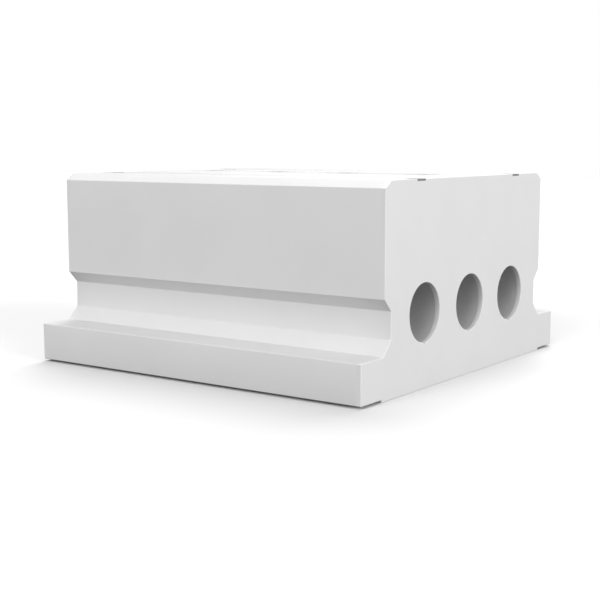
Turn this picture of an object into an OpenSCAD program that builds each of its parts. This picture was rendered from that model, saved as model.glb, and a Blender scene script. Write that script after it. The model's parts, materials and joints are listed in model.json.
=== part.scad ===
// Water filled barrier block, built up from extruded side profiles and welded plates.
// Origin: centre of the footprint, on the ground. +X along the ducts, +Z up.

/* [Overall size] */
// Length along the ducts, over both end walls
barrier_l = 1000; // [820:10:2000]
// Height from the ground to the deck
barrier_h = 495; // [410:5:700]
// Width of the upper body
body_w = 814; // [720:2:1200]

/* [Side profile] */
// How far the waist lies in from the upper body
waist_inset = 28; // [10:1:40]
// Height of the shoulder slope above the waist
shoulder_h = 29; // [15:1:45]
// Height of the upright part of the waist
waist_h = 66; // [40:1:90]
// Height of the slope below the waist
slope_h = 34; // [20:1:50]
// Run of the slope below the waist
slope_w = 32; // [20:1:50]
// Width of the flat ledge on each foot
ledge_w = 92; // [50:1:150]
// Rise of the ledge towards the body, to shed water
ledge_rise = 1; // [0:0.5:4]
// Height of the outer face of each foot
foot_h = 95; // [75:1:120]
// Height of the bevel along the deck's edge
top_bevel_h = 17.5; // [8:0.5:25]
// Width of the bevel along the deck's edge
top_bevel_w = 25.5; // [10:0.5:40]

/* [Skid] */
// Height of the skid under the floor
skid_h = 6; // [4:0.5:12]
// How far the skid lies in from the outer face of each foot
skid_inset = 86; // [40:1:140]

/* [Plates] */
// Wall of the side profiles
side_t = 10; // [6:0.5:14]
// Thickness of the end walls
end_t = 12; // [8:0.5:20]
// Thickness of the deck
deck_t = 18; // [16:0.5:26]
// Thickness of the floor
floor_t = 10; // [6:0.5:16]
// Thickness of the surge baffles
baffle_t = 8; // [5:0.5:12]

/* [Ducts] */
// Inner radius of each duct
duct_r = 71; // [40:1:86]
// Wall of the duct tubes
duct_t = 6; // [4:0.5:8]
// Distance between neighbouring ducts
duct_pitch = 226; // [190:1:275]
// Height of the ducts' axes above the ground
duct_z = 182; // [165:1:225]
// Depth of the drip notch under each duct mouth
drip_d = 7; // [3:0.5:10]
// Width of the drip notch
drip_w = 9; // [4:0.5:14]

/* [Stacking strips] */
// Distance of each groove from the middle of the deck
groove_y = 249; // [225:1:300]
// Width of each groove
groove_w = 38; // [20:1:50]
// Depth of each groove
groove_d = 5; // [4:0.5:10]
// How far each strip lies below the deck
strip_drop = 2.5; // [1:0.5:3]
// Length of the rubber plugs that close each groove
plug_l = 40; // [20:1:80]
// How far those plugs lie behind the end faces
plug_drop = 0.5; // [0:0.5:3]

/* [Filling] */
// Distance from the rear face to the first filler
fill_rear = 80; // [75:1:140]
// Distance from the front face to the last filler
fill_front = 200; // [75:1:250]
// Distance of the fillers from the middle of the deck
fill_y = 84; // [60:1:120]
// Bore of the filler necks
fill_r = 32; // [20:0.5:42]
// Depth of the trough that the caps lie in
trough_d = 10; // [8:0.5:12]
// Free space in the trough around each cap
trough_room = 10; // [6:0.5:20]

/* [Draining] */
// Bore of the drain sockets
drain_r = 22; // [15:0.5:27]
// Distance of each drain from the middle of the rear wall
drain_y = 113; // [100:1:130]
// Gap between the drain sockets and the floor plate
drain_gap = 4; // [1:1:20]
// Free space around each drain plug's head
drain_room = 4; // [3:0.5:8]

/* [Caps and plugs] */
// Thickness of a cap's head
head_t = 7; // [5:0.5:9]
// Overhang of a filler cap's head past the bore
head_lip = 13; // [9:0.5:14]
// Overhang of a drain plug's head past the bore
plug_lip = 10; // [9:0.5:14]
// Chamfer around a head
head_chamfer = 1.5; // [0.5:0.25:2]
// Length of a cap's threaded skirt, under the head
skirt_l = 18; // [12:0.5:30]
// Wall of the skirt
skirt_t = 5.5; // [3:0.5:7]
// Width of the grip bar across a cap
bar_w = 12; // [8:0.5:14]
// Thickness of the seal under a cap's head
seal_t = 2; // [1.5:0.25:3]
// Width of that seal
seal_w = 8; // [4:0.5:9]
// Wall of the necks and sockets
neck_t = 6; // [4:0.5:8]
// Length of the necks and sockets below the seal's seat
neck_l = 38; // [30:1:60]

/* [Fits] */
// Radial clearance between a skirt and its neck
thread_gap = 0.3; // [0.2:0.05:0.6]
// Clearance of a part that is welded or pushed into a hole
seat_gap = 0.2; // [0.1:0.05:0.5]

/* [Hidden] */
$fn = 96;

over = 1;                                   // how far a cut runs past the face that it opens
inner_l = barrier_l - 2 * end_t;            // between the end walls
strip_l = barrier_l - 2 * plug_l;           // between the plugs of a groove
waist_w = body_w - 2 * waist_inset;
foot_w = waist_w + 2 * (slope_w + ledge_w);
deck_w = body_w - 2 * top_bevel_w;
skid_w = foot_w - 2 * skid_inset;
floor_w = foot_w - 2 * side_t;
floor_top = skid_h + floor_t;
deck_under = barrier_h - deck_t;
ledge_z = skid_h + foot_h;
slope_z = ledge_z + ledge_rise;
waist_z = slope_z + slope_h;
duct_out_r = duct_r + duct_t;

fill_n = 4;
fill_pitch = (barrier_l - fill_rear - fill_front) / (fill_n - 1);
fill_head_r = fill_r + head_lip;
trough_r = fill_head_r + trough_room;
trough_z = barrier_h - trough_d;
flange_t = 6;                               // weld flange of a neck, under the deck
flange_lip = 10;
seal_room = 1;                              // between a filler's bore and its seal
drain_head_r = drain_r + plug_lip;
drain_pocket_r = drain_head_r + drain_room;
drain_out_r = drain_pocket_r + neck_t;
drain_z = floor_top + drain_gap + drain_out_r;
pocket_d = seal_t + head_t + over;          // a drain plug's head lies just inside its pocket
notch_r = 26;                               // water and air notches in the baffles
notch_pitch = 0.8 * duct_pitch;
window_r = 62;
window_pitch = 3 * window_r;

function filler_x(i) = -barrier_l / 2 + fill_rear + i * fill_pitch;
function baffle_x(i) = filler_x(i) + fill_pitch / 2;
function unit(v) = v / norm(v);
function normal_of(a, b) = let (d = unit(b - a)) [-d[1], d[0]];
function mitre(a, b, c, t) = let (m = normal_of(a, b), n = normal_of(b, c)) b + (m + n) * t / (1 + m * n);
function reverse(list) = [for (i = [len(list) - 1:-1:0]) list[i]];
function mirrored(list) = [for (p = reverse(list)) [-p[0], p[1]]];

// Outer face of one side, from the foot's bottom edge up to the deck, as [distance out, height]
side_path = [
    [foot_w / 2, skid_h],
    [foot_w / 2, ledge_z],
    [waist_w / 2 + slope_w, slope_z],
    [waist_w / 2, waist_z],
    [waist_w / 2, waist_z + waist_h],
    [body_w / 2, waist_z + waist_h + shoulder_h],
    [body_w / 2, barrier_h - top_bevel_h],
    [deck_w / 2, barrier_h]
];

// Its inner face, one wall further in
bevel_drop = side_t * norm([top_bevel_w, top_bevel_h]) / top_bevel_w;
inner_path = concat(
    [[foot_w / 2 - side_t, skid_h]],
    [for (i = [1:len(side_path) - 2]) mitre(side_path[i - 1], side_path[i], side_path[i + 1], side_t)],
    [[deck_w / 2, barrier_h - bevel_drop]]
);

// A section in Y and Z, run along X
module along_x(from, length) {
    translate([from, 0, 0]) rotate([90, 0, 90]) linear_extrude(length) children();
}

// A cylinder along X through the whole block, or from one place on
module bar_x(y, z, r, from, length) {
    translate([from, y, z]) rotate([0, 90, 0]) cylinder(h = length, r = r);
}

// ---- Shell ----

module side_profile() {
    color("whitesmoke") along_x(-inner_l / 2, inner_l) polygon(concat(side_path, reverse(inner_path)));
}

module end_outline() {
    skid_corner = [[skid_w / 2, 0], [skid_w / 2, skid_h]];
    difference() {
        polygon(concat(skid_corner, side_path, mirrored(concat(skid_corner, side_path))));
        for (side = [-1, 1])
            translate([side * groove_y - groove_w / 2, barrier_h - groove_d]) square([groove_w, groove_d + over]);
    }
}

// End wall with the three duct mouths, each with a drip notch at its lowest point
module end_wall(from) {
    difference() {
        along_x(from, end_t) end_outline();
        for (i = [-1:1]) {
            bar_x(i * duct_pitch, duct_z, duct_r, from - over, end_t + 2 * over);
            along_x(from - over, end_t + 2 * over)
                translate([i * duct_pitch, duct_z - duct_r - drip_d])
                    polygon([[0, 0], [drip_w / 2, drip_d + over], [-drip_w / 2, drip_d + over]]);
        }
        children();
    }
}

module front_end_wall() {
    color("whitesmoke") end_wall(barrier_l / 2 - end_t);
}

module rear_end_wall() {
    from = -barrier_l / 2;
    color("whitesmoke") end_wall(from)
        for (side = [-1, 1])
            bar_x(side * drain_y, drain_z, drain_out_r + seat_gap, from - over, end_t + 2 * over);
}

module top_deck() {
    color("white") difference() {
        translate([-inner_l / 2, -deck_w / 2, deck_under]) cube([inner_l, deck_w, deck_t]);
        for (side = [-1, 1])
            translate([-inner_l / 2 - over, side * groove_y - groove_w / 2, barrier_h - groove_d])
                cube([inner_l + 2 * over, groove_w, groove_d + over]);
        translate([filler_x(0), fill_y - trough_r, trough_z])
            cube([filler_x(fill_n - 1) - filler_x(0), 2 * trough_r, trough_d + over]);
        for (i = [0, fill_n - 1])
            translate([filler_x(i), fill_y, trough_z]) cylinder(h = trough_d + over, r = trough_r);
        for (i = [0:fill_n - 1])
            translate([filler_x(i), fill_y, deck_under - over])
                cylinder(h = deck_t, r = fill_r + neck_t + seat_gap);
    }
}

module floor_plate() {
    color("whitesmoke") translate([-inner_l / 2, -floor_w / 2, skid_h]) cube([inner_l, floor_w, floor_t]);
}

module skid_plate() {
    color("gainsboro") translate([-inner_l / 2, -skid_w / 2, 0]) cube([inner_l, skid_w, skid_h]);
}

// ---- Inside ----

module duct_tube(i) {
    color("gainsboro") difference() {
        bar_x(i * duct_pitch, duct_z, duct_out_r, -inner_l / 2, inner_l);
        bar_x(i * duct_pitch, duct_z, duct_r, -inner_l / 2 - over, inner_l + 2 * over);
    }
}

module surge_baffle(x) {
    window_y = (deck_w / 2 - 2 * window_r) / 2;
    window_z = (duct_z + duct_out_r + deck_under) / 2;
    color("gainsboro") difference() {
        along_x(x - baffle_t / 2, baffle_t) difference() {
            intersection() {
                polygon(concat(inner_path, mirrored(inner_path)));
                translate([-foot_w / 2, floor_top]) square([foot_w, deck_under - floor_top]);
            }
            for (y = [-1, 1])
                for (place = [window_y, window_y + window_pitch])
                    translate([y * place, window_z]) circle(r = window_r);
            for (y = [-2:2]) translate([y * notch_pitch, floor_top]) circle(r = notch_r);
            for (y = [-1:1]) translate([y * groove_y, deck_under]) circle(r = notch_r / 2);
        }
        for (i = [-1:1])
            bar_x(i * duct_pitch, duct_z, duct_out_r + seat_gap, x - baffle_t, 2 * baffle_t);
    }
}

// ---- Deck fittings ----

module stacking_strip(side) {
    color("white") translate([-strip_l / 2, side * groove_y - groove_w / 2 + seat_gap, barrier_h - groove_d])
        cube([strip_l, groove_w - 2 * seat_gap, groove_d - strip_drop]);
}

// Rubber plug that closes a groove, flush with the deck and against the strip; end is 1 in front
module groove_plug(side, end) {
    length = plug_l - plug_drop;
    color("dimgray")
        translate([
            end * strip_l / 2 + min(end, 0) * length,
            side * groove_y - groove_w / 2 + seat_gap,
            barrier_h - groove_d
        ])
            cube([length, groove_w - 2 * seat_gap, groove_d]);
}

// ---- Caps, plugs, seals and the necks that they screw into ----
// Each is drawn along +Z, with z = 0 on the seat of its seal.

module ring(inner, outer, from, height) {
    translate([0, 0, from]) rotate_extrude() translate([inner, 0]) square([outer - inner, height]);
}

module screw_cap(bore_r, head_r) {
    skirt_r = bore_r - thread_gap;
    cup_r = skirt_r - skirt_t;
    cup_floor = -skirt_l + skirt_t;
    head_top = seal_t + head_t;
    rotate_extrude() polygon([
        [0, -skirt_l], [skirt_r, -skirt_l], [skirt_r, seal_t], [head_r, seal_t],
        [head_r, head_top - head_chamfer], [head_r - head_chamfer, head_top], [cup_r, head_top],
        [cup_r, cup_floor], [0, cup_floor]
    ]);
    intersection() {
        translate([-cup_r - over, -bar_w / 2, cup_floor - over])
            cube([2 * cup_r + 2 * over, bar_w, head_top - cup_floor]);
        translate([0, 0, -skirt_l]) cylinder(h = skirt_l + head_top, r = cup_r + over);
    }
}

module cap_seal(inner_r) {
    color("dimgray") ring(inner_r, inner_r + seal_w, 0, seal_t);
}

module at_filler(i) {
    translate([filler_x(i), fill_y, trough_z]) children();
}

module filler_neck(i) {
    deck_left = deck_t - trough_d;
    color("gainsboro") at_filler(i) union() {
        ring(fill_r, fill_r + neck_t, -neck_l, neck_l);
        ring(fill_r + neck_t - over, fill_r + neck_t + flange_lip, -deck_left - flange_t, flange_t);
    }
}

module filler_seal(i) {
    at_filler(i) cap_seal(fill_r + seal_room);
}

module filler_cap(i) {
    color("lightgray") at_filler(i) screw_cap(fill_r, fill_head_r);
}

// Along -X, out of the rear wall, with z = 0 at the bottom of the drain's pocket
module at_drain(side) {
    translate([-barrier_l / 2 + pocket_d, side * drain_y, drain_z]) rotate([0, -90, 0]) children();
}

module drain_socket(side) {
    color("gainsboro") at_drain(side) union() {
        ring(drain_pocket_r, drain_out_r, 0, pocket_d);
        ring(drain_r, drain_out_r, -neck_t, neck_t);
        ring(drain_r, drain_r + neck_t, -neck_l, neck_l - neck_t + over);
    }
}

module drain_seal(side) {
    at_drain(side) cap_seal(drain_r);
}

module drain_plug(side) {
    color("lightgray") at_drain(side) screw_cap(drain_r, drain_head_r);
}

mirror([0, 1, 0]) side_profile();  // left_side_profile
side_profile();  // right_side_profile
front_end_wall();
rear_end_wall();
top_deck();
floor_plate();
skid_plate();
duct_tube(-1);  // left_duct_tube
duct_tube(0);  // centre_duct_tube
duct_tube(1);  // right_duct_tube
surge_baffle(baffle_x(2));  // front_surge_baffle
surge_baffle(baffle_x(1));  // middle_surge_baffle
surge_baffle(baffle_x(0));  // rear_surge_baffle
stacking_strip(-1);  // left_stacking_strip
stacking_strip(1);  // right_stacking_strip
groove_plug(-1, 1);  // left_front_groove_plug
groove_plug(1, 1);  // right_front_groove_plug
groove_plug(-1, -1);  // left_rear_groove_plug
groove_plug(1, -1);  // right_rear_groove_plug
filler_neck(0);  // filler_neck_1
filler_neck(1);  // filler_neck_2
filler_neck(2);  // filler_neck_3
filler_neck(3);  // filler_neck_4
filler_seal(0);  // filler_seal_1
filler_seal(1);  // filler_seal_2
filler_seal(2);  // filler_seal_3
filler_seal(3);  // filler_seal_4
filler_cap(0);  // filler_cap_1
filler_cap(1);  // filler_cap_2
filler_cap(2);  // filler_cap_3
filler_cap(3);  // filler_cap_4
drain_socket(-1);  // left_drain_socket
drain_socket(1);  // right_drain_socket
drain_seal(-1);  // left_drain_seal
drain_seal(1);  // right_drain_seal
drain_plug(-1);  // left_drain_plug
drain_plug(1);  // right_drain_plug
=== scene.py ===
import bpy
import json
import math
import bmesh
from mathutils import Matrix, Vector
from mathutils.geometry import tessellate_polygon


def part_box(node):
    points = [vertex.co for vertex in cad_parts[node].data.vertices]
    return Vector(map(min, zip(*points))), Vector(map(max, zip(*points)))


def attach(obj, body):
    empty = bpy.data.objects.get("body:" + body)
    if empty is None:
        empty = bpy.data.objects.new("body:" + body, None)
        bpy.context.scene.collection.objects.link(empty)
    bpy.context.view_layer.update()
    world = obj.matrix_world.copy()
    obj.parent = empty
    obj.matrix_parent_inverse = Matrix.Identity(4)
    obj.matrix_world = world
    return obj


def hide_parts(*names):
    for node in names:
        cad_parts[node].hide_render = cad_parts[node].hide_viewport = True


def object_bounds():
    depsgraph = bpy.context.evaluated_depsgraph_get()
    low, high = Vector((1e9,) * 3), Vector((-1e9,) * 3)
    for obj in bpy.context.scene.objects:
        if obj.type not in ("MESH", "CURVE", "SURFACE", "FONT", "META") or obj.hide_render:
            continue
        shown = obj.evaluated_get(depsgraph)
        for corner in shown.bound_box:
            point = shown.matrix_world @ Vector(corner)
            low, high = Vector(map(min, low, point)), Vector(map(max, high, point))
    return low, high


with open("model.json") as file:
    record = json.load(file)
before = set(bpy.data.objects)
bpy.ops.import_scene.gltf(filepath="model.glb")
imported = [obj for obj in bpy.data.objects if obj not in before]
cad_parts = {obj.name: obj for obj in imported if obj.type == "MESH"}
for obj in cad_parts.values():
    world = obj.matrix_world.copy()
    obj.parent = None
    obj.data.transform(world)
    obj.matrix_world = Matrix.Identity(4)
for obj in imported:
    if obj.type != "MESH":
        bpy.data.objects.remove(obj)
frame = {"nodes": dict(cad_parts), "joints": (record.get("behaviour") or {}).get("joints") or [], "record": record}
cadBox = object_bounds()  # the CAD model's box, before anything is added
nodes = frame["nodes"]
mounts = {mount["name"]: mount for mount in frame["record"]["mounts"]}
joints = {joint["name"]: joint for joint in frame["joints"]}
mm = 0.001
fullTurn = 2 * math.pi
mergeDistance = 1e-6  # metres, below which two points are one
smallFace = 4e-4  # square metres, above which a many-sided face is shaded flat
lineStretch = 0.004  # how far a die's lines are drawn out along the section
blockHeight = cadBox[1].z
print("frame loaded:", len(nodes), "nodes")


def linear(channel):
    return channel / 12.92 if channel <= 0.04045 else ((channel + 0.055) / 1.055) ** 2.4


def hexColour(text):
    return tuple(linear(int(text[i:i + 2], 16) / 255) for i in (1, 3, 5)) + (1.0,)


def addNode(tree, kind, settings=None, links=None):
    # settings are the node's own properties or the values of its inputs; links go from a socket to an input
    node = tree.nodes.new(kind)
    for key, value in (settings or {}).items():
        if isinstance(key, str) and hasattr(node, key):
            setattr(node, key, value)
        else:
            node.inputs[key].default_value = value
    for key, source in (links or {}).items():
        tree.links.new(source, node.inputs[key])
    return node


# Camera, lights and floor

cameraSet = {
    "azimuth": 35.56,  # degrees round from straight on at the long side
    "elevation": 7.67,  # degrees that it looks down
    "place": (3.7235, -5.2708, 1.1672),  # in heights of the block
    "lens": 70.3,
}

lightSet = {
    "skyStrength": 0.36,
    "suns": {  # name: (strength, from azimuth, from elevation, softness), all in degrees
        "backLight": (2.35, 200, 55, 40),
        "endLight": (3.15, 90, 12, 40),
        "sideLight": (1.9, 0, 25, 40),
        "highLight": (0.4, 0, 65, 40),
    },
    "floorColour": "#DADADA",
    "floorBounce": "#5A5A5A",  # what the floor gives back to the block, as a grey studio floor would
    "floorSize": 30.0,  # metres
}


def backDirection(azimuth, elevation):
    a, e = math.radians(azimuth), math.radians(elevation)
    return Vector((math.sin(a) * math.cos(e), -math.cos(a) * math.cos(e), math.sin(e)))


def makeCamera():
    data = bpy.data.cameras.new("camera")
    data.sensor_width = 36
    data.lens = cameraSet["lens"]
    camera = bpy.data.objects.new("camera", data)
    bpy.context.scene.collection.objects.link(camera)
    camera.location = Vector(cameraSet["place"]) * blockHeight
    back = backDirection(cameraSet["azimuth"], cameraSet["elevation"])
    camera.rotation_euler = back.to_track_quat("Z", "Y").to_euler()
    bpy.context.scene.camera = camera


def makeLights():
    for name, (strength, azimuth, elevation, softness) in lightSet["suns"].items():
        data = bpy.data.lights.new(name, "SUN")
        data.energy = strength
        data.angle = math.radians(softness)
        light = bpy.data.objects.new(name, data)
        bpy.context.scene.collection.objects.link(light)
        light.rotation_euler = backDirection(azimuth, elevation).to_track_quat("Z", "Y").to_euler()
    world = bpy.data.worlds.new("paleStudio")
    world.use_nodes = True
    tree = world.node_tree
    tree.nodes.clear()
    path = addNode(tree, "ShaderNodeLightPath")
    strength = addNode(tree, "ShaderNodeMix", {"data_type": "FLOAT", 2: lightSet["skyStrength"], 3: 1.0},
                       {0: path.outputs["Is Camera Ray"]})
    sky = addNode(tree, "ShaderNodeBackground", {"Color": (1, 1, 1, 1)}, {"Strength": strength.outputs[0]})
    addNode(tree, "ShaderNodeOutputWorld", None, {"Surface": sky.outputs[0]})
    bpy.context.scene.world = world


def makeFloor():
    half = lightSet["floorSize"] / 2
    mesh = bpy.data.meshes.new("floor")
    corners = [(-half, -half, 0), (half, -half, 0), (half, half, 0), (-half, half, 0)]
    mesh.from_pydata(corners, [], [(0, 1, 2, 3)])
    floor = bpy.data.objects.new("floor", mesh)
    bpy.context.scene.collection.objects.link(floor)
    material = bpy.data.materials.new("paleFloor")
    material.use_nodes = True
    tree = material.node_tree
    tree.nodes.clear()
    path = addNode(tree, "ShaderNodeLightPath")
    seen = addNode(tree, "ShaderNodeBsdfDiffuse", {"Color": hexColour(lightSet["floorColour"])})
    bounced = addNode(tree, "ShaderNodeBsdfDiffuse", {"Color": hexColour(lightSet["floorBounce"])})
    mixed = addNode(tree, "ShaderNodeMixShader", None,
                    {0: path.outputs["Is Camera Ray"], 1: bounced.outputs[0], 2: seen.outputs[0]})
    addNode(tree, "ShaderNodeOutputMaterial", None, {"Surface": mixed.outputs[0]})
    mesh.materials.append(material)


makeCamera()
makeLights()
makeFloor()
bpy.context.scene.view_settings.view_transform = "Standard"
print("camera, lights and floor")

# Materials: grain, wave and line give each pattern's size and the depth of its relief, in millimetres

surfaceSet = {
    # high density polyethylene section, extruded: matt white and even, with faint lines along it from the die
    "extrudedPolyethylene": {"light": "#D4D4D4", "dark": "#D1D1D1", "roughness": 0.5, "specular": 0.35,
                             "grain": (2.6, 0.05), "wave": (160, 0.1), "line": (3.0, 0.03)},
    # the same polyethylene as pressed sheet, routed to shape: as white, with a soft pebbled skin and no lines
    "pressedPolyethylene": {"light": "#D4D4D4", "dark": "#D1D1D1", "roughness": 0.5, "specular": 0.35,
                            "grain": (2.2, 0.05), "wave": (160, 0.12), "line": None},
    # the deck's sheet, planed flat after welding: smoother, and a little brighter than the other sheet as painted
    # light on the top face
    "planedDeckPaintedLight": {"light": "#D8D8D8", "dark": "#D5D5D5", "roughness": 0.46, "specular": 0.35,
                           "grain": (2.0, 0.03), "wave": (120, 0.12), "line": (5.0, 0.02)},
    # polyethylene pipe, smooth from the sizing die: its pale grey is painted shade for the dim insides of the
    # ducts, a shade darker than the sheet round its mouths
    "ductPipePaintedShade": {"light": "#B6B6B6", "dark": "#B1B1B1", "roughness": 0.42, "specular": 0.4,
                 "grain": (3.0, 0.03), "wave": (60, 0.12), "line": (4.0, 0.03)},
    # natural polyethylene, turned on a lathe: waxy and faintly translucent to the eye, so a little yellow
    "turnedPolyethylene": {"light": "#D0D0CD", "dark": "#C9C9C5", "roughness": 0.42, "specular": 0.4,
                           "grain": (1.2, 0.03), "wave": (40, 0.06), "line": None},
    # thermoplastic elastomer strip, extruded: the dullest white, with a dry bloom
    "paleElastomer": {"light": "#C8C8C8", "dark": "#C1C1C1", "roughness": 0.72, "specular": 0.2,
                      "grain": (1.4, 0.08), "wave": (30, 0.1), "line": (2.0, 0.03)},
    # polypropylene, injection moulded in a spark-eroded mould: satin light grey with a tight grain
    "mouldedPolypropylene": {"light": "#B0B1B1", "dark": "#A8A9A9", "roughness": 0.38, "specular": 0.45,
                             "grain": (1.1, 0.05), "wave": (25, 0.05), "line": None},
    # EPDM sponge rubber, die cut from sheet: the rubber block is a real part, but its dull mid grey, the darkest
    # thing on the deck, is painted shade for the shadow in the notches at the groove ends
    "plugRubberPaintedShade": {"light": "#828282", "dark": "#797979", "roughness": 0.8, "specular": 0.2,
                       "grain": (1.8, 0.1), "wave": (14, 0.05), "line": None},
    # EPDM rubber, moulded: dull black, greyed by its bloom
    "blackSealRubber": {"light": "#232323", "dark": "#191919", "roughness": 0.76, "specular": 0.25,
                        "grain": (0.9, 0.05), "wave": (12, 0.05), "line": None},
    # polyethylene welding rod, laid by hand extruder: white and a little glossier where it melted
    "weldedPolyethylene": {"light": "#D2D2D1", "dark": "#C8C8C6", "roughness": 0.36, "specular": 0.45,
                           "grain": (1.6, 0.04), "wave": (18, 0.2), "line": None},
}


def makeMaterial(name, finish):
    # a real grain of about 0.3 mm is too fine to show from a few metres, so it is drawn several times coarser
    material = bpy.data.materials.new(name)
    material.use_nodes = True
    tree = material.node_tree
    tree.nodes.clear()
    place = addNode(tree, "ShaderNodeTexCoord")
    grainSize, grainDepth = finish["grain"]
    waveSize, waveDepth = finish["wave"]
    wave = addNode(tree, "ShaderNodeTexNoise", {"Scale": 1 / (waveSize * mm), "Detail": 3.0},
                   {"Vector": place.outputs["Object"]})
    grain = addNode(tree, "ShaderNodeTexNoise", {"Scale": 1 / (grainSize * mm), "Detail": 2.0},
                    {"Vector": place.outputs["Object"]})
    tone = addNode(tree, "ShaderNodeValToRGB", None, {"Fac": wave.outputs["Fac"]})
    tone.color_ramp.elements[0].position = 0.3
    tone.color_ramp.elements[1].position = 0.7
    tone.color_ramp.elements[0].color = hexColour(finish["dark"])
    tone.color_ramp.elements[1].color = hexColour(finish["light"])
    gloss = addNode(tree, "ShaderNodeMapRange", {"From Min": 0.3, "From Max": 0.7,
                    "To Min": finish["roughness"] - 0.05, "To Max": finish["roughness"] + 0.05},
                    {"Value": grain.outputs["Fac"]})
    relief = addNode(tree, "ShaderNodeBump", {"Strength": 0.5, "Distance": waveDepth * mm},
                     {"Height": wave.outputs["Fac"]})
    if finish["line"]:
        lineSize, lineDepth = finish["line"]
        stretch = addNode(tree, "ShaderNodeMapping", {"Scale": (lineStretch, 1, 1)},
                          {"Vector": place.outputs["Object"]})
        line = addNode(tree, "ShaderNodeTexNoise", {"Scale": 1 / (lineSize * mm), "Detail": 2.0},
                       {"Vector": stretch.outputs["Vector"]})
        relief = addNode(tree, "ShaderNodeBump", {"Strength": 0.5, "Distance": lineDepth * mm},
                         {"Height": line.outputs["Fac"], "Normal": relief.outputs["Normal"]})
    relief = addNode(tree, "ShaderNodeBump", {"Strength": 0.6, "Distance": grainDepth * mm},
                     {"Height": grain.outputs["Fac"], "Normal": relief.outputs["Normal"]})
    shader = addNode(tree, "ShaderNodeBsdfPrincipled",
                     {"IOR": 1.52, "Specular IOR Level": finish["specular"]},
                     {"Base Color": tone.outputs["Color"], "Roughness": gloss.outputs["Result"],
                      "Normal": relief.outputs["Normal"]})
    addNode(tree, "ShaderNodeOutputMaterial", None, {"Surface": shader.outputs[0]})
    return material


materials = {name: makeMaterial(name, finish) for name, finish in surfaceSet.items()}
print("materials:", len(materials))

# Helpers for pieces


def addPiece(name, mesh, material, body, slotName, *replaced):
    piece = bpy.data.objects.new(name, mesh)
    bpy.context.scene.collection.objects.link(piece)
    mesh.materials.clear()
    mesh.materials.append(materials[material])
    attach(piece, body)
    if replaced:
        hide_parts(*replaced)
    return piece


def outwardMesh(name, build, sharpAngle=32):
    # a bmesh made into a mesh with its faces outward and its large flat faces flat
    bmesh.ops.remove_doubles(build, verts=build.verts, dist=mergeDistance)
    bmesh.ops.recalc_face_normals(build, faces=build.faces)
    mesh = bpy.data.meshes.new(name)
    build.to_mesh(mesh)
    build.free()
    return shadeMesh(mesh, sharpAngle)


def shadeMesh(mesh, sharpAngle=32):
    for polygon in mesh.polygons:
        polygon.use_smooth = polygon.area < smallFace or len(polygon.vertices) < 5
    mesh.set_sharp_from_angle(angle=math.radians(sharpAngle))
    return mesh


def evaluatedMesh(name, base, tree=None, inputs=None, modifiers=()):
    # the base mesh after its modifiers, or after a Geometry Nodes tree with its named inputs, as a plain mesh
    holder = bpy.data.objects.new(name + "Base", base)
    bpy.context.scene.collection.objects.link(holder)
    for kind, settings in modifiers:
        modifier = holder.modifiers.new(kind.lower(), kind)
        for key, value in settings.items():
            setattr(modifier, key, value)
    if tree:
        modifier = holder.modifiers.new("nodes", "NODES")
        modifier.node_group = tree
        identifiers = {item.name: item.identifier for item in tree.interface.items_tree
                       if item.in_out == "INPUT"}
        for key, value in inputs.items():
            modifier[identifiers[key]] = value
    result = bpy.data.meshes.new_from_object(holder.evaluated_get(bpy.context.evaluated_depsgraph_get()))
    result.name = name
    holder.modifiers.clear()
    bpy.data.objects.remove(holder)
    build = bmesh.new()
    build.from_mesh(result)
    bmesh.ops.remove_doubles(build, verts=build.verts, dist=mergeDistance)
    bmesh.ops.recalc_face_normals(build, faces=build.faces)
    build.to_mesh(result)
    build.free()
    return result


def newTree(name, inputs):
    # inputs: name -> (socket kind, default value)
    tree = bpy.data.node_groups.new(name, "GeometryNodeTree")
    tree.interface.new_socket("Geometry", in_out="INPUT", socket_type="NodeSocketGeometry")
    for key, (kind, value) in inputs.items():
        socket = tree.interface.new_socket(key, in_out="INPUT", socket_type=kind)
        if value is not None:
            socket.default_value = value
    tree.interface.new_socket("Geometry", in_out="OUTPUT", socket_type="NodeSocketGeometry")
    return tree, addNode(tree, "NodeGroupInput").outputs


def endTree(tree, geometry, material):
    real = addNode(tree, "GeometryNodeRealizeInstances", None, {"Geometry": geometry})
    painted = addNode(tree, "GeometryNodeSetMaterial", None,
                      {"Geometry": real.outputs[0], "Material": material})
    addNode(tree, "NodeGroupOutput", None, {0: painted.outputs[0]})
    return tree


def mathNode(tree, operation, *values):
    # numbers are set on the inputs and sockets are linked to them
    numbers = {i: value for i, value in enumerate(values) if isinstance(value, (int, float))}
    sockets = {i: value for i, value in enumerate(values) if i not in numbers}
    return addNode(tree, "ShaderNodeMath", {"operation": operation, **numbers}, sockets).outputs[0]


def roundPath(points, radii, steps=5):
    # the open path with each inner corner turned into an arc of its radius
    path = [Vector(points[0])]
    for i in range(1, len(points) - 1):
        corner, radius = Vector(points[i]), radii[i]
        back = (Vector(points[i - 1]) - corner).normalized()
        ahead = (Vector(points[i + 1]) - corner).normalized()
        half = math.acos(max(-1.0, min(1.0, back.dot(ahead)))) / 2
        if radius <= 0 or half > math.radians(89):
            path.append(corner)
            continue
        centre = corner + (back + ahead).normalized() * (radius / math.sin(half))
        start = corner + back * (radius / math.tan(half)) - centre
        end = corner + ahead * (radius / math.tan(half)) - centre
        sweep = math.atan2(start.x * end.y - start.y * end.x, start.dot(end))
        for k in range(steps + 1):
            turn = sweep * k / steps
            path.append(centre + Vector((start.x * math.cos(turn) - start.y * math.sin(turn),
                                         start.x * math.sin(turn) + start.y * math.cos(turn))))
    path.append(Vector(points[-1]))
    return path


def roundLoop(points, radius, steps=3):
    # the same for a closed loop, with one radius at every corner
    middle = (Vector(points[-1]) + Vector(points[0])) / 2
    return roundPath([middle] + list(points) + [middle], [radius] * (len(points) + 2), steps)[:-1]


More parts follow.
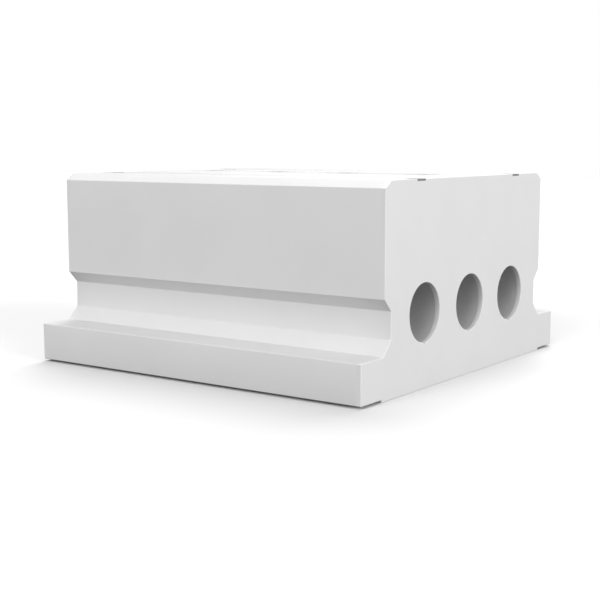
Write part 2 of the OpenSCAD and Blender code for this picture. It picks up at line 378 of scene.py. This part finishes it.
def insetLoop(loop, distance):
    # each point of a closed loop moved to its left, which is the side that the material is on
    moved = []
    for i, point in enumerate(loop):
        before = (point - loop[i - 1]).normalized()
        after = (loop[(i + 1) % len(loop)] - point).normalized()
        sideA, sideB = Vector((-before.y, before.x)), Vector((-after.y, after.x))
        moved.append(point + (sideA + sideB) * (distance / (1 + sideA.dot(sideB))))
    return moved


def turnedMesh(name, outline, steps):
    # outline: (radius, height) in millimetres, closed round a ring, or from the axis to the axis
    build = bmesh.new()
    rings = []
    for radius, height in outline:
        if radius < 1e-6:
            rings.append([build.verts.new((0, 0, height * mm))])
            continue
        rings.append([build.verts.new((radius * mm * math.cos(fullTurn * k / steps),
                                       radius * mm * math.sin(fullTurn * k / steps), height * mm))
                      for k in range(steps)])
    following = rings[1:] if len(rings[0]) == 1 else rings[1:] + rings[:1]
    for lower, upper in zip(rings, following):
        for k in range(steps):
            corners = [lower[k % len(lower)], lower[(k + 1) % steps % len(lower)],
                       upper[(k + 1) % steps % len(upper)], upper[k % len(upper)]]
            build.faces.new(list(dict.fromkeys(corners)))
    return outwardMesh(name, build)


def bevelledPiece(name, node, width, material, slotName):
    # a merged copy of a CAD node whose edges are eased, as a router or a scraper leaves them
    build = bmesh.new()
    build.from_mesh(nodes[node].data)
    bmesh.ops.remove_doubles(build, verts=build.verts, dist=mergeDistance)
    bmesh.ops.dissolve_limit(build, angle_limit=math.radians(0.5), verts=build.verts, edges=build.edges)
    base = outwardMesh(name, build)
    eased = evaluatedMesh(name, base, modifiers=[("BEVEL", {
        "width": width * mm, "segments": 2, "limit_method": "ANGLE", "angle_limit": math.radians(40)})])
    return addPiece(name, shadeMesh(eased), material, "tank", slotName, node)


# Section of the block, in millimetres

sectionSet = {
    "waistInset": 28, "shoulderHeight": 29, "waistHeight": 66, "slopeHeight": 34, "slopeWidth": 32,
    "ledgeWidth": 92, "ledgeRise": 1, "footHeight": 95, "bevelHeight": 17.5, "bevelWidth": 25.5,
    "skidHeight": 6, "skidInset": 86, "wall": 10,
    "outerRadius": 2.2,  # rounding of the outer corners
    "bendRadius": 7,  # rounding of the two inward bends
    "grooveWidth": 38, "grooveDepth": 5, "groovePlace": 249,
    "dripDepth": 7, "dripWidth": 9,
}


def sideCorners():
    # outer face of the right side, from the foot's lower edge up to the deck: (out, up) and kind of corner
    s = sectionSet
    foot = cadBox[1].y / mm
    ledge = foot - s["ledgeWidth"]
    waist = ledge - s["slopeWidth"]
    body = waist + s["waistInset"]
    top = blockHeight / mm
    ledgeHeight = s["skidHeight"] + s["footHeight"]
    waistFoot = ledgeHeight + s["ledgeRise"] + s["slopeHeight"]
    waistTop = waistFoot + s["waistHeight"]
    return [
        ((foot, s["skidHeight"]), "outer"), ((foot, ledgeHeight), "outer"),
        ((ledge, ledgeHeight + s["ledgeRise"]), "bend"), ((waist, waistFoot), "bend"),
        ((waist, waistTop), "outer"), ((body, waistTop + s["shoulderHeight"]), "outer"),
        ((body, top - s["bevelHeight"]), "outer"), ((body - s["bevelWidth"], top), "outer"),
    ]


def circleLoop(centre, radius, count=96):
    # clockwise, so that the material is on its left
    return [Vector((centre[0] + radius * math.sin(fullTurn * k / count),
                    centre[1] + radius * math.cos(fullTurn * k / count))) for k in range(count)]


def mouthLoop(centre, radius, count=96):
    # a duct mouth with the drip notch cut into its lowest point
    halfWidth, depth = sectionSet["dripWidth"] / 2, sectionSet["dripDepth"]
    edge = math.asin(halfWidth / radius)
    start, end = math.pi + edge, 3 * math.pi - edge
    loop = [Vector((centre[0] + radius * math.sin(start + (end - start) * k / count),
                    centre[1] + radius * math.cos(start + (end - start) * k / count)))
            for k in range(count + 1)]
    loop.append(Vector((centre[0], centre[1] - radius - depth)))
    return loop


ductRadius = mounts["centre_duct"]["dims"]["r_mm"]
ductPlaces = [(mounts[name]["pos_m"][1] / mm, mounts[name]["pos_m"][2] / mm)
              for name in ("left_duct", "centre_duct", "right_duct")]
print("section ready")

# End walls

endWallSet = {
    "edgeRounding": 1.3, "drainRadius": 42.2,
    "roundingMiddle": 0.29,  # of the rounding, in and down, to the middle point of its arc
}


def endOutline():
    s = sectionSet
    top = blockHeight / mm
    skid = cadBox[1].y / mm - s["skidInset"]
    corners = [((skid, s["skidHeight"]), "sharp")] + sideCorners() + [((0, top), "sharp")]
    cornerRadius = {"sharp": 0, "outer": s["outerRadius"], "bend": s["bendRadius"]}
    radii = [cornerRadius[kind] for place, kind in corners]
    right = roundPath([place for place, kind in corners], radii)[:-1]
    inner, outer = s["groovePlace"] - s["grooveWidth"] / 2, s["groovePlace"] + s["grooveWidth"] / 2
    groove = [Vector(p) for p in ((outer, top), (outer, top - s["grooveDepth"]),
                                  (inner, top - s["grooveDepth"]), (inner, top))]
    half = [Vector((skid, 0))] + right + groove
    return half + [Vector((-p.x, p.y)) for p in reversed(half)]


def makeEndWall(name, node, outward, holes):
    # outward is 1 for the wall at +X and -1 for the one at -X; only the edges of its outer face are eased
    low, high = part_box(node)
    face = high.x if outward > 0 else low.x
    rounding = endWallSet["edgeRounding"]
    middle = rounding * endWallSet["roundingMiddle"]
    loops = [endOutline()] + holes
    steps = [(rounding, 0.0), (middle, middle), (0.0, rounding), (0.0, (high.x - low.x) / mm)]  # inset, depth
    build = bmesh.new()
    rings = []
    for loop in loops:
        rings.append([[build.verts.new((face - outward * depth * mm, p.x * mm, p.y * mm))
                       for p in (insetLoop(loop, inset) if inset else loop)] for inset, depth in steps])
    for ring in rings:
        for upper, lower in zip(ring, ring[1:]):
            for i in range(len(upper)):
                j = (i + 1) % len(upper)
                build.faces.new((upper[i], lower[i], lower[j], upper[j]))
    for level in (0, len(steps) - 1):
        flat = [[Vector((v.co.y, v.co.z, 0)) for v in ring[level]] for ring in rings]
        corners = [v for ring in rings for v in ring[level]]
        for triangle in tessellate_polygon(flat):
            build.faces.new([corners[i] for i in triangle])
    mesh = outwardMesh(name, build)
    for polygon in mesh.polygons:
        polygon.use_smooth = abs(polygon.normal.x) < 0.98 and polygon.area < smallFace
    return addPiece(name, mesh, "pressedPolyethylene", "tank", "tank_polyethylene", node)


mouths = [mouthLoop(place, ductRadius) for place in ductPlaces]
drainPlaces = [(joints[name]["pos_m"][1] / mm, joints[name]["pos_m"][2] / mm)
               for name in ("left_drain_plug_turn", "right_drain_plug_turn")]
drainHoles = [circleLoop(place, endWallSet["drainRadius"]) for place in drainPlaces]
makeEndWall("endWallFront", "front_end_wall", 1, mouths)
makeEndWall("endWallRear", "rear_end_wall", -1, mouths + drainHoles)
print("end walls")

# Extruded pieces: one tree rounds a closed section's corners and runs it along X


def makeExtrusionTree():
    tree, given = newTree("extrudedSection", {
        "Length": ("NodeSocketFloat", 1.0), "Outer radius": ("NodeSocketFloat", 0.002),
        "Bend radius": ("NodeSocketFloat", 0.007), "Steps": ("NodeSocketInt", 5),
        "Material": ("NodeSocketMaterial", None)})
    outline = addNode(tree, "GeometryNodeMeshToCurve", None, {"Mesh": given["Geometry"]})
    outer = addNode(tree, "GeometryNodeInputNamedAttribute", {"data_type": "FLOAT", "Name": "outerCorner"})
    bend = addNode(tree, "GeometryNodeInputNamedAttribute", {"data_type": "FLOAT", "Name": "bendCorner"})
    radius = mathNode(tree, "ADD", mathNode(tree, "MULTIPLY", outer.outputs[0], given["Outer radius"]),
                      mathNode(tree, "MULTIPLY", bend.outputs[0], given["Bend radius"]))
    rounded = addNode(tree, "GeometryNodeFilletCurve", {"mode": "POLY"},
                      {"Curve": outline.outputs[0], "Count": given["Steps"], "Radius": radius})
    upright = addNode(tree, "GeometryNodeTransform", {"Rotation": (0, 0, math.pi)},
                      {"Geometry": rounded.outputs[0]})
    half = mathNode(tree, "MULTIPLY", given["Length"], 0.5)
    start = addNode(tree, "ShaderNodeCombineXYZ", None, {"X": mathNode(tree, "MULTIPLY", half, -1)})
    end = addNode(tree, "ShaderNodeCombineXYZ", None, {"X": half})
    rail = addNode(tree, "GeometryNodeCurvePrimitiveLine", None,
                   {"Start": start.outputs[0], "End": end.outputs[0]})
    solid = addNode(tree, "GeometryNodeCurveToMesh", {"Fill Caps": True},
                    {"Curve": rail.outputs[0], "Profile Curve": upright.outputs[0]})
    return endTree(tree, solid.outputs[0], given["Material"])


extrusionTree = makeExtrusionTree()


def sectionMesh(name, corners):
    # the closed section as a loop of edges, with the kind of each corner stored on its point
    count = len(corners)
    mesh = bpy.data.meshes.new(name)
    mesh.from_pydata([(x * mm, y * mm, 0) for (x, y), kind in corners],
                     [(i, (i + 1) % count) for i in range(count)], [])
    for kind in ("outer", "bend"):
        attribute = mesh.attributes.new(kind + "Corner", "FLOAT", "POINT")
        attribute.data.foreach_set("value", [1.0 if corner[1] == kind else 0.0 for corner in corners])
    return mesh


def extrude(name, corners, length, radii, material):
    inputs = {"Length": length, "Outer radius": radii[0] * mm, "Bend radius": radii[1] * mm, "Steps": 5,
              "Material": materials[material]}
    return shadeMesh(evaluatedMesh(name, sectionMesh(name + "Section", corners), extrusionTree, inputs))


# Side profiles


def makeSideProfile(name, node, side):
    s = sectionSet
    outer = sideCorners()
    places = [Vector(place) for place, kind in outer]
    inner = []
    for i in range(1, len(places) - 1):
        before, after = (places[i] - places[i - 1]).normalized(), (places[i + 1] - places[i]).normalized()
        sideA, sideB = Vector((-before.y, before.x)), Vector((-after.y, after.x))
        inner.append(places[i] + (sideA + sideB) * (s["wall"] / (1 + sideA.dot(sideB))))
    bevelDrop = s["wall"] * math.hypot(s["bevelWidth"], s["bevelHeight"]) / s["bevelWidth"]
    inner = [places[0] - Vector((s["wall"], 0))] + inner + [places[-1] - Vector((0, bevelDrop))]
    outer[-1] = (outer[-1][0], "sharp")  # the corner that the deck is welded to
    corners = outer + [(tuple(place), "sharp") for place in reversed(inner)]
    corners = [((side * x, y), kind) for (x, y), kind in corners]
    low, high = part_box(node)
    mesh = extrude(name, corners, high.x - low.x, (s["outerRadius"], s["bendRadius"]), "extrudedPolyethylene")
    return addPiece(name, mesh, "extrudedPolyethylene", "tank", "tank_polyethylene", node)


makeSideProfile("sideProfileRight", "right_side_profile", 1)
makeSideProfile("sideProfileLeft", "left_side_profile", -1)
print("side profiles")

# Stacking strips: ribbed along their length, so that a block stood on top grips

stripSet = {"ribs": 6, "ribWidth": 3.0, "ribDepth": 0.9, "edgeRounding": 0.3}


def makeStrip(name, node):
    low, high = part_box(node)
    s = stripSet
    left, right, bottom, top = low.y / mm, high.y / mm, low.z / mm, high.z / mm
    corners = [((left, bottom), "outer"), ((right, bottom), "outer"), ((right, top), "outer")]
    pitch = (right - left) / (s["ribs"] + 1)
    for i in range(s["ribs"], 0, -1):
        middle = left + i * pitch
        half = (pitch - s["ribWidth"]) / 2
        corners += [((middle + half, top), "outer"), ((middle + half, top - s["ribDepth"]), "outer"),
                    ((middle - half, top - s["ribDepth"]), "outer"), ((middle - half, top), "outer")]
    corners.append(((left, top), "outer"))
    mesh = extrude(name, corners, high.x - low.x, (s["edgeRounding"], 0), "paleElastomer")
    return addPiece(name, mesh, "paleElastomer", "tank", "strip_elastomer", node)


makeStrip("stackingStripLeft", "left_stacking_strip")
makeStrip("stackingStripRight", "right_stacking_strip")
print("stacking strips")

# Groove plugs: a rubber block that closes each end of a groove

plugSet = {
    "edgeWidth": 0.5,
    "nodes": {
        "grooveBlockFrontLeft": "left_front_groove_plug", "grooveBlockFrontRight": "right_front_groove_plug",
        "grooveBlockRearLeft": "left_rear_groove_plug", "grooveBlockRearRight": "right_rear_groove_plug",
    },
}
# the plugs' dark grey is painted shade for the shadowed ends of the grooves
for pieceName, node in plugSet["nodes"].items():
    bevelledPiece(pieceName, node, plugSet["edgeWidth"], "plugRubberPaintedShade", "plug_rubber")
print("groove plugs")

# Plates and baffles

plateSet = {
    # piece: (CAD node, width of the eased edge in millimetres, material, slot)
    # the deck's material is a lighter copy of the white sheet, painted light on the top face
    "topDeck": ("top_deck", 0.6, "planedDeckPaintedLight", "deck_polyethylene"),
    "floorPlate": ("floor_plate", 0.6, "pressedPolyethylene", "tank_polyethylene"),
    "skidPlate": ("skid_plate", 1.5, "pressedPolyethylene", "tank_polyethylene"),
    "surgeBaffleFront": ("front_surge_baffle", 0.8, "turnedPolyethylene", "inner_polyethylene"),
    "surgeBaffleMiddle": ("middle_surge_baffle", 0.8, "turnedPolyethylene", "inner_polyethylene"),
    "surgeBaffleRear": ("rear_surge_baffle", 0.8, "turnedPolyethylene", "inner_polyethylene"),
}
for pieceName, (node, width, material, slotName) in plateSet.items():
    bevelledPiece(pieceName, node, width, material, slotName)
print("plates and baffles")

# Duct tubes

tubeSet = {"edgeRounding": 0.8, "steps": 128}


def makeTube(name, node, place):
    low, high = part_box(node)
    outer, half = (high.y - low.y) / 2 / mm, (high.x - low.x) / 2 / mm
    outline = roundLoop([(ductRadius, -half), (outer, -half), (outer, half), (ductRadius, half)],
                        tubeSet["edgeRounding"])
    mesh = turnedMesh(name, outline, tubeSet["steps"])
    level = Matrix.Rotation(math.pi / 2, 4, "Y")
    mesh.transform(Matrix.Translation((0, place[0] * mm, place[1] * mm)) @ level)
    # the pipe's grey colour is painted shade for the dim inside of each duct
    return addPiece(name, mesh, "ductPipePaintedShade", "tank", "inner_polyethylene", node)


for pieceName, node, place in zip(("ductTubeLeft", "ductTubeCentre", "ductTubeRight"),
                                  ("left_duct_tube", "centre_duct_tube", "right_duct_tube"), ductPlaces):
    makeTube(pieceName, node, place)
print("duct tubes")

# Screw thread and rim grip: one tree moves the surface of a turned piece in and out

threadShape = {
    "valleyFrom": 0.14, "valleyTo": 0.3,  # flank of the thread, in pitches from the crest
    "fade": 0.001,  # metres over which a thread starts and ends
    "onSurface": 0.00005,  # metres off its radius at which a point is no longer on the thread or the rim
}


def makeThreadTree():
    s = threadShape
    tree, given = newTree("threadAndGrip", {
        "Pitch": ("NodeSocketFloat", 0.006), "Thread depth": ("NodeSocketFloat", 0.0012),
        "Thread radius": ("NodeSocketFloat", 0.03), "Thread from": ("NodeSocketFloat", -0.016),
        "Thread to": ("NodeSocketFloat", -0.002), "Grips": ("NodeSocketInt", 40),
        "Grip depth": ("NodeSocketFloat", 0.001), "Grip radius": ("NodeSocketFloat", 0.04),
        "Material": ("NodeSocketMaterial", None)})
    place = addNode(tree, "ShaderNodeSeparateXYZ", None,
                    {0: addNode(tree, "GeometryNodeInputPosition").outputs[0]})
    x, y, z = place.outputs
    out = addNode(tree, "ShaderNodeCombineXYZ", None, {"X": x, "Y": y})
    length = addNode(tree, "ShaderNodeVectorMath", {"operation": "LENGTH"}, {0: out.outputs[0]})
    radius = length.outputs["Value"]
    heading = addNode(tree, "ShaderNodeVectorMath", {"operation": "NORMALIZE"}, {0: out.outputs[0]})
    angle = mathNode(tree, "ARCTAN2", y, x)
    turns = mathNode(tree, "DIVIDE", angle, fullTurn)
    climbed = mathNode(tree, "DIVIDE", z, given["Pitch"])
    phase = mathNode(tree, "FRACT", mathNode(tree, "SUBTRACT", climbed, turns))
    fromCrest = mathNode(tree, "ABSOLUTE", mathNode(tree, "SUBTRACT", phase, 0.5))
    valley = addNode(tree, "ShaderNodeMapRange", {"From Min": s["valleyFrom"], "From Max": s["valleyTo"],
                     "To Min": 0.0, "To Max": 1.0}, {"Value": fromCrest})
    runIn = addNode(tree, "ShaderNodeMapRange", {"To Min": 0.0, "To Max": 1.0},
                    {"Value": z, "From Min": given["Thread from"],
                     "From Max": mathNode(tree, "ADD", given["Thread from"], s["fade"])})
    runOut = addNode(tree, "ShaderNodeMapRange", {"To Min": 0.0, "To Max": 1.0},
                     {"Value": z, "From Min": given["Thread to"],
                      "From Max": mathNode(tree, "SUBTRACT", given["Thread to"], s["fade"])})
    onThread = mathNode(tree, "COMPARE", radius, given["Thread radius"], s["onSurface"])
    depth = mathNode(tree, "MULTIPLY", valley.outputs[0], given["Thread depth"])
    for mask in (runIn.outputs[0], runOut.outputs[0], onThread):
        depth = mathNode(tree, "MULTIPLY", depth, mask)
    ripple = mathNode(tree, "COSINE", mathNode(tree, "MULTIPLY", angle, given["Grips"]))
    ripple = mathNode(tree, "SUBTRACT", 0.5, mathNode(tree, "MULTIPLY", ripple, 0.5))
    onRim = mathNode(tree, "COMPARE", radius, given["Grip radius"], s["onSurface"])
    grip = mathNode(tree, "MULTIPLY", mathNode(tree, "MULTIPLY", ripple, given["Grip depth"]), onRim)
    inward = mathNode(tree, "MULTIPLY", mathNode(tree, "ADD", depth, grip), -1)
    offset = addNode(tree, "ShaderNodeVectorMath", {"operation": "SCALE"},
                     {0: heading.outputs[0], "Scale": inward})
    moved = addNode(tree, "GeometryNodeSetPosition", None,
                    {"Geometry": given["Geometry"], "Offset": offset.outputs[0]})
    return endTree(tree, moved.outputs[0], given["Material"])


threadTree = makeThreadTree()


def stretch(radius, low, high, rows):
    # points up a straight turned face, close enough together to carry a thread
    return [Vector((radius, low + (high - low) * i / rows)) for i in range(rows + 1)]


# Caps, plugs, seals, necks and sockets: heights are in millimetres above the seat of the seal

screwSet = {
    "steps": 240, "pitch": 6.0, "threadDepth": 1.2, "rowHeight": 0.6,
    "headTop": 9.0, "seal": 2.0, "skirt": 18.0, "cupFloor": -12.5, "wall": 5.5, "gap": 0.3,
    "rimRounding": 1.5, "cupRounding": 1.6, "floorRounding": 3.0,
    "grips": 40, "gripDepth": 0.9, "barWidth": 12.0, "barTop": 8.0, "barRounding": 1.4,
    "neckLength": 38.0, "neckWall": 6.0, "flangeLip": 10.0, "flangeTop": -8.0, "flangeHeight": 6.0,
    "pocket": 10.0, "pocketRoom": 4.0, "edgeRounding": 0.7,
    "sealRoom": 0.02,  # between a seal and the rim above it
    "sealRounding": 0.6, "sealSteps": 96,
    "rimEdge": 0.6, "rimRise": 2.5, "crownDrop": 3.0,  # plain bands at the foot and the top of the ribbed rim
    "barLet": 1.2, "barSunk": 1.0,  # how far the grip bar goes into the cup's wall at each end, and its floor
    "plainFoot": 12, "plainTop": 2.5, "plainEnd": 2,  # lengths of a neck or socket that carry no thread
    "skirtFoot": 1, "skirtTop": 0.5,  # the same for a skirt
    "rowStart": 0.3,  # from the rounding at the skirt's foot to the first row of points
    "sharpAngle": 40,
}
fillerSize = {"bore": 32.0, "head": 45.0, "sealInner": 33.0, "sealOuter": 41.0}
drainSize = {"bore": 22.0, "head": 32.0, "sealInner": 22.0, "sealOuter": 30.0}


def threaded(name, outline, radius, depth, low, high, grip, material):
    s = screwSet
    base = turnedMesh(name + "Blank", outline, s["steps"])
    mesh = evaluatedMesh(name, base, threadTree, {
        "Pitch": s["pitch"] * mm, "Thread depth": depth * mm, "Thread radius": radius * mm,
        "Thread from": low * mm, "Thread to": high * mm, "Grips": s["grips"],
        "Grip depth": s["gripDepth"] * mm if grip else 0.0, "Grip radius": (grip or 1000) * mm,
        "Material": materials[material]})
    return mesh


def capMesh(name, size):
    s = screwSet
    skirt, head, top = size["bore"] - s["gap"], size["head"], s["headTop"]
    cup = skirt - s["wall"]
    rows = round(s["skirt"] / s["rowHeight"])
    foot = roundPath([(0, -s["skirt"]), (skirt, -s["skirt"]), (skirt, 0)], [0, s["edgeRounding"], 0], 3)[:-1]
    thread = stretch(skirt, -s["skirt"] + s["edgeRounding"] + s["rowStart"], s["seal"] - s["rimEdge"], rows)
    rim = roundPath([(skirt, s["seal"]), (head, s["seal"]), (head, s["seal"] + s["rimRise"])],
                    [0, s["rimEdge"], 0], 2)
    crown = roundPath([(head, top - s["crownDrop"]), (head, top), (cup, top), (cup, s["cupFloor"]),
                       (0, s["cupFloor"])], [0, s["rimRounding"], s["cupRounding"], s["floorRounding"], 0], 4)
    outline = foot + thread + rim + crown
    mesh = threaded(name, outline, skirt, s["threadDepth"], -s["skirt"] + s["skirtFoot"], -s["skirtTop"],
                    head, "mouldedPolypropylene")
    # the grip bar across the cup, let into its wall and floor
    bar = bmesh.new()
    bmesh.ops.create_cube(bar, size=1.0)
    length, depth = 2 * cup + 2 * s["barLet"], s["barTop"] - s["cupFloor"] + s["barSunk"]
    bmesh.ops.scale(bar, vec=(length * mm, s["barWidth"] * mm, depth * mm), verts=bar.verts)
    bmesh.ops.translate(bar, vec=(0, 0, (s["barTop"] - depth / 2) * mm), verts=bar.verts)
    ridges = [e for e in bar.edges if all(v.co.z > 0 for v in e.verts)
              and abs(e.verts[0].co.y - e.verts[1].co.y) < mergeDistance]
    bmesh.ops.bevel(bar, geom=ridges, offset=s["barRounding"] * mm, segments=3, profile=0.5, affect="EDGES")
    barObject = bpy.data.objects.new(name + "Bar", outwardMesh(name + "Bar", bar))
    bpy.context.scene.collection.objects.link(barObject)
    joined = evaluatedMesh(name, mesh, modifiers=[("BOOLEAN", {
        "operation": "UNION", "solver": "EXACT", "object": barObject})])
    bpy.data.objects.remove(barObject)
    return shadeMesh(joined, s["sharpAngle"])


def ringRun(points, radius):
    # rounded corners along an open run of points, leaving out its two ends
    return roundPath(points, [radius] * len(points), 3)[1:-1]


def neckMesh(name):
    s = screwSet
    inner, foot = fillerSize["bore"], -s["neckLength"]
    outer = inner + s["neckWall"]
    lip, lipTop, lipFoot = outer + s["flangeLip"], s["flangeTop"], s["flangeTop"] - s["flangeHeight"]
    run = ringRun([(inner, foot + s["plainEnd"]), (inner, foot), (outer, foot), (outer, lipFoot),
                   (lip, lipFoot), (lip, lipTop), (outer, lipTop), (outer, 0), (inner, 0),
                   (inner, -s["plainEnd"])], s["edgeRounding"])
    rows = round((s["neckLength"] - 2 * s["plainEnd"]) / s["rowHeight"])
    outline = run + list(reversed(stretch(inner, foot + s["plainEnd"], -s["plainEnd"], rows)))
    mesh = threaded(name, outline, inner, -s["threadDepth"], foot + s["plainFoot"], -s["plainTop"], None,
                    "turnedPolyethylene")
    return shadeMesh(mesh, s["sharpAngle"])


def socketMesh(name):
    s = screwSet
    bore, foot = drainSize["bore"], -s["neckLength"]
    neck = bore + s["neckWall"]
    pocket = drainSize["head"] + s["pocketRoom"]
    outer = pocket + s["neckWall"]
    run = ringRun([(bore, foot + s["plainEnd"]), (bore, foot), (neck, foot), (neck, -s["neckWall"]),
                   (outer, -s["neckWall"]), (outer, s["pocket"]), (pocket, s["pocket"]), (pocket, 0),
                   (bore, 0), (bore, -s["plainEnd"])], s["edgeRounding"])
    rows = round((s["neckLength"] - 2 * s["plainEnd"]) / s["rowHeight"])
    outline = run + list(reversed(stretch(bore, foot + s["plainEnd"], -s["plainEnd"], rows)))
    mesh = threaded(name, outline, bore, -s["threadDepth"], foot + s["plainFoot"], -s["plainTop"], None,
                    "turnedPolyethylene")
    return shadeMesh(mesh, s["sharpAngle"])


def sealMesh(name, size):
    # short of the rim by a hair, so that the two flat faces never lie in one plane
    s = screwSet
    top = s["seal"] - s["sealRoom"]
    outline = roundLoop([(size["sealInner"], 0), (size["sealOuter"], 0), (size["sealOuter"], top),
                         (size["sealInner"], top)], s["sealRounding"])
    return turnedMesh(name, outline, s["sealSteps"])


def placedPiece(name, mesh, place, material, body, slotName, node):
    copy = mesh.copy()
    copy.transform(place)
    return addPiece(name, copy, material, body, slotName, node)


fillerCap = capMesh("fillerCap", fillerSize)
fillerNeck = neckMesh("fillerNeck")
fillerSeal = sealMesh("fillerSeal", fillerSize)
drainPlug = capMesh("drainPlug", drainSize)
drainSocket = socketMesh("drainSocket")
drainSeal = sealMesh("drainSeal", drainSize)
intoWall = Matrix.Rotation(-math.pi / 2, 4, "Y")  # from upright to facing -X
for i in range(1, 5):
    place = Matrix.Translation(joints[f"filler_cap_{i}_turn"]["pos_m"])
    placedPiece(f"fillerCap{i}", fillerCap, place, "mouldedPolypropylene", f"filler_cap_{i}",
                "cap_polypropylene", f"filler_cap_{i}")
    placedPiece(f"fillerSeal{i}", fillerSeal, place, "blackSealRubber", f"filler_seal_{i}", "seal_rubber",
                f"filler_seal_{i}")
    placedPiece(f"fillerNeck{i}", fillerNeck, place, "turnedPolyethylene", "tank", "inner_polyethylene",
                f"filler_neck_{i}")
for side in ("left", "right"):
    place = Matrix.Translation(joints[f"{side}_drain_plug_turn"]["pos_m"]) @ intoWall
    placedPiece(f"{side}DrainPlug", drainPlug, place, "mouldedPolypropylene", f"{side}_drain_plug",
                "cap_polypropylene", f"{side}_drain_plug")
    placedPiece(f"{side}DrainSeal", drainSeal, place, "blackSealRubber", f"{side}_drain_seal", "seal_rubber",
                f"{side}_drain_seal")
    placedPiece(f"{side}DrainSocket", drainSocket, place, "turnedPolyethylene", "tank", "inner_polyethylene",
                f"{side}_drain_socket")
print("caps, plugs, seals, necks and sockets")

# Weld beads: one tree lays a rippled bead along a path

beadSet = {
    "ripple": 5.0, "rippleDepth": 0.12, "skidBead": 2.4, "footBead": 2.2, "drainBead": 1.5,
    "endGap": 2.0,  # each bead stops this far short of the end walls
    "skidSink": 0.6, "footSink": 0.45, "drainStand": 1.05,  # where a bead's middle lies, in its own radii
    "ringSteps": 72, "sharpAngle": 50,
}


def makeBeadTree():
    tree, given = newTree("weldBead", {
        "Bead radius": ("NodeSocketFloat", 0.002), "Ripple": ("NodeSocketFloat", 0.005),
        "Ripple depth": ("NodeSocketFloat", 0.12), "Material": ("NodeSocketMaterial", None)})
    path = addNode(tree, "GeometryNodeMeshToCurve", None, {"Mesh": given["Geometry"]})
    even = addNode(tree, "GeometryNodeResampleCurve", {"mode": "LENGTH"},
                   {"Curve": path.outputs[0], "Length": mathNode(tree, "MULTIPLY", given["Ripple"], 0.25)})
    along = addNode(tree, "GeometryNodeSplineParameter").outputs["Length"]
    wave = mathNode(tree, "FRACT", mathNode(tree, "DIVIDE", along, given["Ripple"]))
    swell = mathNode(tree, "ADD", mathNode(tree, "MULTIPLY", wave, given["Ripple depth"]), 0.9)
    ring = addNode(tree, "GeometryNodeCurvePrimitiveCircle", {"mode": "RADIUS", "Resolution": 10},
                   {"Radius": given["Bead radius"]})
    bead = addNode(tree, "GeometryNodeCurveToMesh", {"Fill Caps": True},
                   {"Curve": even.outputs[0], "Profile Curve": ring.outputs[0], "Scale": swell})
    return endTree(tree, bead.outputs[0], given["Material"])


beadTree = makeBeadTree()


def layBeads(name, paths, radius):
    # each path is a list of points in metres, and is closed if it ends where it starts
    points, edges = [], []
    for path in paths:
        closed = (path[0] - path[-1]).length < 1e-6
        kept = path[:-1] if closed else path
        first = len(points)
        points += kept
        edges += [(first + i, first + i + 1) for i in range(len(kept) - 1)]
        if closed:
            edges.append((first + len(kept) - 1, first))
    base = bpy.data.meshes.new(name + "Path")
    base.from_pydata(points, edges, [])
    mesh = evaluatedMesh(name, base, beadTree, {
        "Bead radius": radius * mm, "Ripple": beadSet["ripple"] * mm, "Ripple depth": beadSet["rippleDepth"],
        "Material": materials["weldedPolyethylene"]})
    shadeMesh(mesh, beadSet["sharpAngle"])
    return addPiece(name, mesh, "weldedPolyethylene", "tank", "tank_polyethylene")


skidLow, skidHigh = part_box("skid_plate")
floorLow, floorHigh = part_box("floor_plate")
endGap, ringSteps = beadSet["endGap"] * mm, beadSet["ringSteps"]
skidBead, footBead, drainBead = (beadSet[key] * mm for key in ("skidBead", "footBead", "drainBead"))
skidSink = beadSet["skidSink"] * skidBead
skidPaths = [[Vector((x, side * (skidHigh.y + skidSink), skidHigh.z - skidSink))
              for x in (skidLow.x + endGap, skidHigh.x - endGap)] for side in (-1, 1)]
layBeads("skidWeldBeads", skidPaths, beadSet["skidBead"])
footPaths = [[Vector((x, side * floorHigh.y, floorLow.z + beadSet["footSink"] * footBead))
              for x in (floorLow.x + endGap, floorHigh.x - endGap)] for side in (-1, 1)]
layBeads("floorWeldBeads", footPaths, beadSet["footBead"])
ringRadius = endWallSet["drainRadius"] * mm
drainFace = cadBox[0].x + beadSet["drainStand"] * drainBead
drainRings = [[Vector((drainFace, y * mm + ringRadius * math.cos(fullTurn * k / ringSteps),
                       z * mm + ringRadius * math.sin(fullTurn * k / ringSteps)))
               for k in range(ringSteps + 1)] for y, z in drainPlaces]
layBeads("drainWeldBeads", drainRings, beadSet["drainBead"])
print("weld beads")
